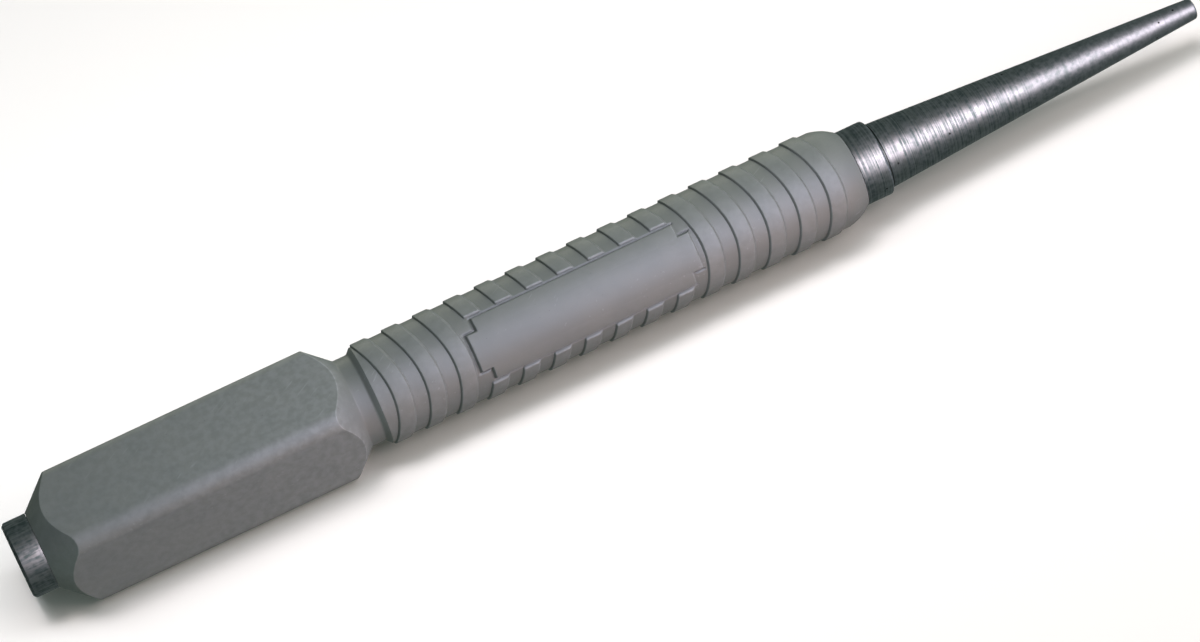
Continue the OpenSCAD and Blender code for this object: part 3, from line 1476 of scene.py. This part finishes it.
@dataclass(frozen=True)
class SoftBox:
    """A soft studio light that faces the middle of the tool.

    Attributes:
        name: name of the light.
        rise: its angle from straight up, towards the front, in degrees.
        swing: its angle from there towards the tip, in degrees.
        distance: how far off it stands, in metres.
        size: width and height, in metres.
        level: brightness that it gives a white surface facing it.
        colour: colour of its light.
        reach: what it lights.
        turn: its turn about its own beam, in degrees.
    """

    name: str
    rise: float
    swing: float
    distance: float
    size: tuple[float, float]
    level: float
    colour: tuple[float, float, float]
    reach: Reach
    turn: float = 0.0

    @property
    def towards(self) -> Vector:
        """Direction from the tool to the light."""
        rise = math.radians(self.rise)
        swing = math.radians(self.swing)
        upright = Vector((0.0, -math.sin(rise), math.cos(rise)))
        return upright * math.cos(swing) + Vector((math.sin(swing), 0.0, 0.0))

    def build(self, target: Vector, lit: Collection) -> Object:
        """Set up the light in the scene.

        Args:
            target: point that it faces.
            lit: the objects that it lights.

        Returns:
            The light's object.
        """
        light = bpy.data.lights.new(self.name, "AREA")
        light.shape = "RECTANGLE"
        light.size, light.size_y = self.size
        light.energy = self.level * (math.pi * self.distance) ** 2
        light.color = self.colour
        lamp = bpy.data.objects.new(self.name, light)
        lamp.location = target + self.towards * self.distance
        turned = Quaternion((0.0, 0.0, 1.0), math.radians(self.turn))
        lamp.rotation_euler = (self.towards.to_track_quat("Z", "Y") @ turned).to_euler()
        lamp.light_linking.receiver_collection = lit
        bpy.context.collection.objects.link(lamp)
        return lamp


@dataclass(frozen=True)
class StudioCamera:
    """The photograph's viewpoint.

    Attributes:
        photo_width: width of the photograph in pixels.
        focal_pixels: focal length in pixels of the photograph.
        sensor_width: width of the camera's sensor.
        clip_start: nearest distance that it sees, in metres.
        distance: distance from the camera to the tool's axis.
        foot_station: station of the axis point nearest to the camera.
        tilt: angle of the camera from straight up, towards the front.
        pan: turn of the view from that nearest point towards the tip.
        axis_lift_pixels: how far over the picture's middle the axis passes.
        roll: slope of the tool in the picture.
    """

    tool: ToolPlace
    photo_width: float = 1200.0
    focal_pixels: float = 4296.0
    sensor_width: float = 36.0
    clip_start: float = 0.01
    distance: float = 420.8
    foot_station: float = 2.64
    tilt: float = math.radians(37.0)
    pan: float = math.radians(7.98)
    axis_lift_pixels: float = 30.5
    roll: float = math.radians(25.22)

    def build(self) -> Object:
        """Set up the camera and make it the scene's own.

        Returns:
            The camera.
        """
        data = bpy.data.cameras.new("photo_camera")
        data.sensor_fit = "HORIZONTAL"
        data.sensor_width = self.sensor_width
        data.lens = self.focal_pixels * self.sensor_width / self.photo_width
        data.clip_start = self.clip_start
        camera = bpy.data.objects.new("photo_camera", data)
        out = Vector((0.0, -math.sin(self.tilt), math.cos(self.tilt)))
        foot = self.tool.point(self.foot_station, 0.0, 0.0)
        drop = math.atan(self.axis_lift_pixels / self.focal_pixels)
        pose = Matrix.Translation(foot + out * self.distance * MM)
        for turn, axis in ((self.tilt, "X"), (-self.pan, "Y"), (-drop, "X"), (-self.roll, "Z")):
            pose = pose @ Matrix.Rotation(turn, 4, axis)
        camera.matrix_world = pose
        bpy.context.collection.objects.link(camera)
        bpy.context.scene.camera = camera
        return camera


@dataclass(frozen=True)
class Studio:
    """Plain pale floor, soft light and the camera."""

    tool: ToolPlace
    floor_side: float = 3.0
    ambient: Colour = (0.84, 1.03, 0.96, 1.0)
    ambient_strength: float = 0.24
    ambient_slope: tuple[float, float, float] = (0.10, 0.0, 0.04)

    @staticmethod
    def lights() -> list[SoftBox]:
        """List the soft boxes for the floor and its shadow, the grip, the steel and the whole tool.

        Returns:
            The lights.
        """
        # Name, rise, swing, distance, size, level, colour, reach and turn
        return [
            SoftBox(
                "floor_box", -6.7, -9.6, 0.118, (0.198, 0.038), 0.82, (0.96, 1.02, 1.07), Reach.FLOOR, -72
            ),
            SoftBox("floor_sky", -9, -4, 2.0, (0.5, 0.5), 0.31, (1.04, 0.99, 1.0), Reach.FLOOR),
            SoftBox("floor_fill", 30.8, 34.5, 0.25, (0.15, 0.15), 0.29, (1.08, 0.98, 0.97), Reach.FLOOR),
            SoftBox("front_box", 42, 18, 0.16, (0.12, 0.19), 1.13, (0.98, 0.98, 1.23), Reach.GRIP),
            SoftBox("top_box", -14, 32, 0.15, (0.24, 0.24), 0.30, (1.02, 1.14, 0.58), Reach.GRIP),
            SoftBox("back_box", -85, 10, 0.30, (0.30, 0.05), 0.20, (1.04, 1.04, 0.88), Reach.GRIP),
            SoftBox("low_box", 92, 28, 0.15, (0.22, 0.16), 0.28, (1.68, 0.80, 0.38), Reach.GRIP),
            SoftBox("rear_box", 100, -50, 0.30, (0.20, 0.20), 0.11, (0.66, 1.15, 0.95), Reach.GRIP),
            SoftBox("steel_box", 41, 24, 0.41, (0.25, 0.26), 1.60, (1.22, 0.98, 1.08), Reach.STEEL),
            SoftBox("tip_box", 45, 66, 0.30, (0.16, 0.24), 0.16, (0.85, 0.95, 1.35), Reach.TOOL),
        ]

    def build(self, punch: Object, grip: list[Object]) -> None:
        """Set up the floor, the lights, the surroundings and the camera.

        Args:
            punch: the steel piece.
            grip: the grip's pieces.
        """
        bpy.ops.mesh.primitive_plane_add(size=self.floor_side)
        floor = bpy.context.object
        floor.name = "floor"
        floor.data.materials.append(FloorFinish().material())
        floor.visible_diffuse = False
        floor.visible_glossy = False
        lit = {
            Reach.STEEL: self._group("lit_steel", [punch]),
            Reach.GRIP: self._group("lit_grip", grip),
            Reach.TOOL: self._group("lit_tool", [punch, *grip]),
            Reach.FLOOR: self._group("lit_floor", [floor]),
        }
        for box in self.lights():
            box.build(self.tool.axis_point, lit[box.reach])
        self._surroundings()
        StudioCamera(self.tool).build()

    @staticmethod
    def _group(name: str, members: list[Object]) -> Collection:
        """Gather objects that the same lights fall on.

        Args:
            name: name of the group.
            members: the objects.

        Returns:
            The group.
        """
        group = bpy.data.collections.new(name)
        for member in members:
            group.objects.link(member)
        return group

    def _surroundings(self) -> None:
        """Set the light of the room, brighter towards the tip, and the plain colour transform."""
        world = bpy.data.worlds.new("studio")
        world.use_nodes = True
        sheet = NodeSheet(world.node_tree)
        direction = sheet.add("ShaderNodeTexCoord").outputs["Generated"]
        strength = sheet.math("ADD", sheet.dot(direction, self.ambient_slope), self.ambient_strength)
        background = world.node_tree.nodes["Background"]
        sheet.feed(background.inputs["Color"], self.ambient)
        sheet.feed(background.inputs["Strength"], strength)
        bpy.context.scene.world = world
        bpy.context.scene.view_settings.view_transform = "Standard"


def main() -> None:
    """Build and dress the tool, then set up the studio."""
    logging.basicConfig(level=logging.INFO, format="%(name)s: %(message)s")
    tool = ToolPlace.from_frame()
    effects = SurfaceEffects()
    punch = SteelPunch(tool)
    steel = TurnedSteel().material(effects, punch)
    rubber = MouldedRubber().material(effects, tool)
    punch_piece = punch.build()
    punch.dress(punch_piece, steel)
    grip = MouldedGrip(punch)
    grip_pieces = [grip.build_body(), *grip.build_ribs(RibRow(), rubber)]
    grip.dress(grip_pieces, rubber)
    Studio(tool).build(punch_piece, grip_pieces)


if __name__ == "__main__":
    main()
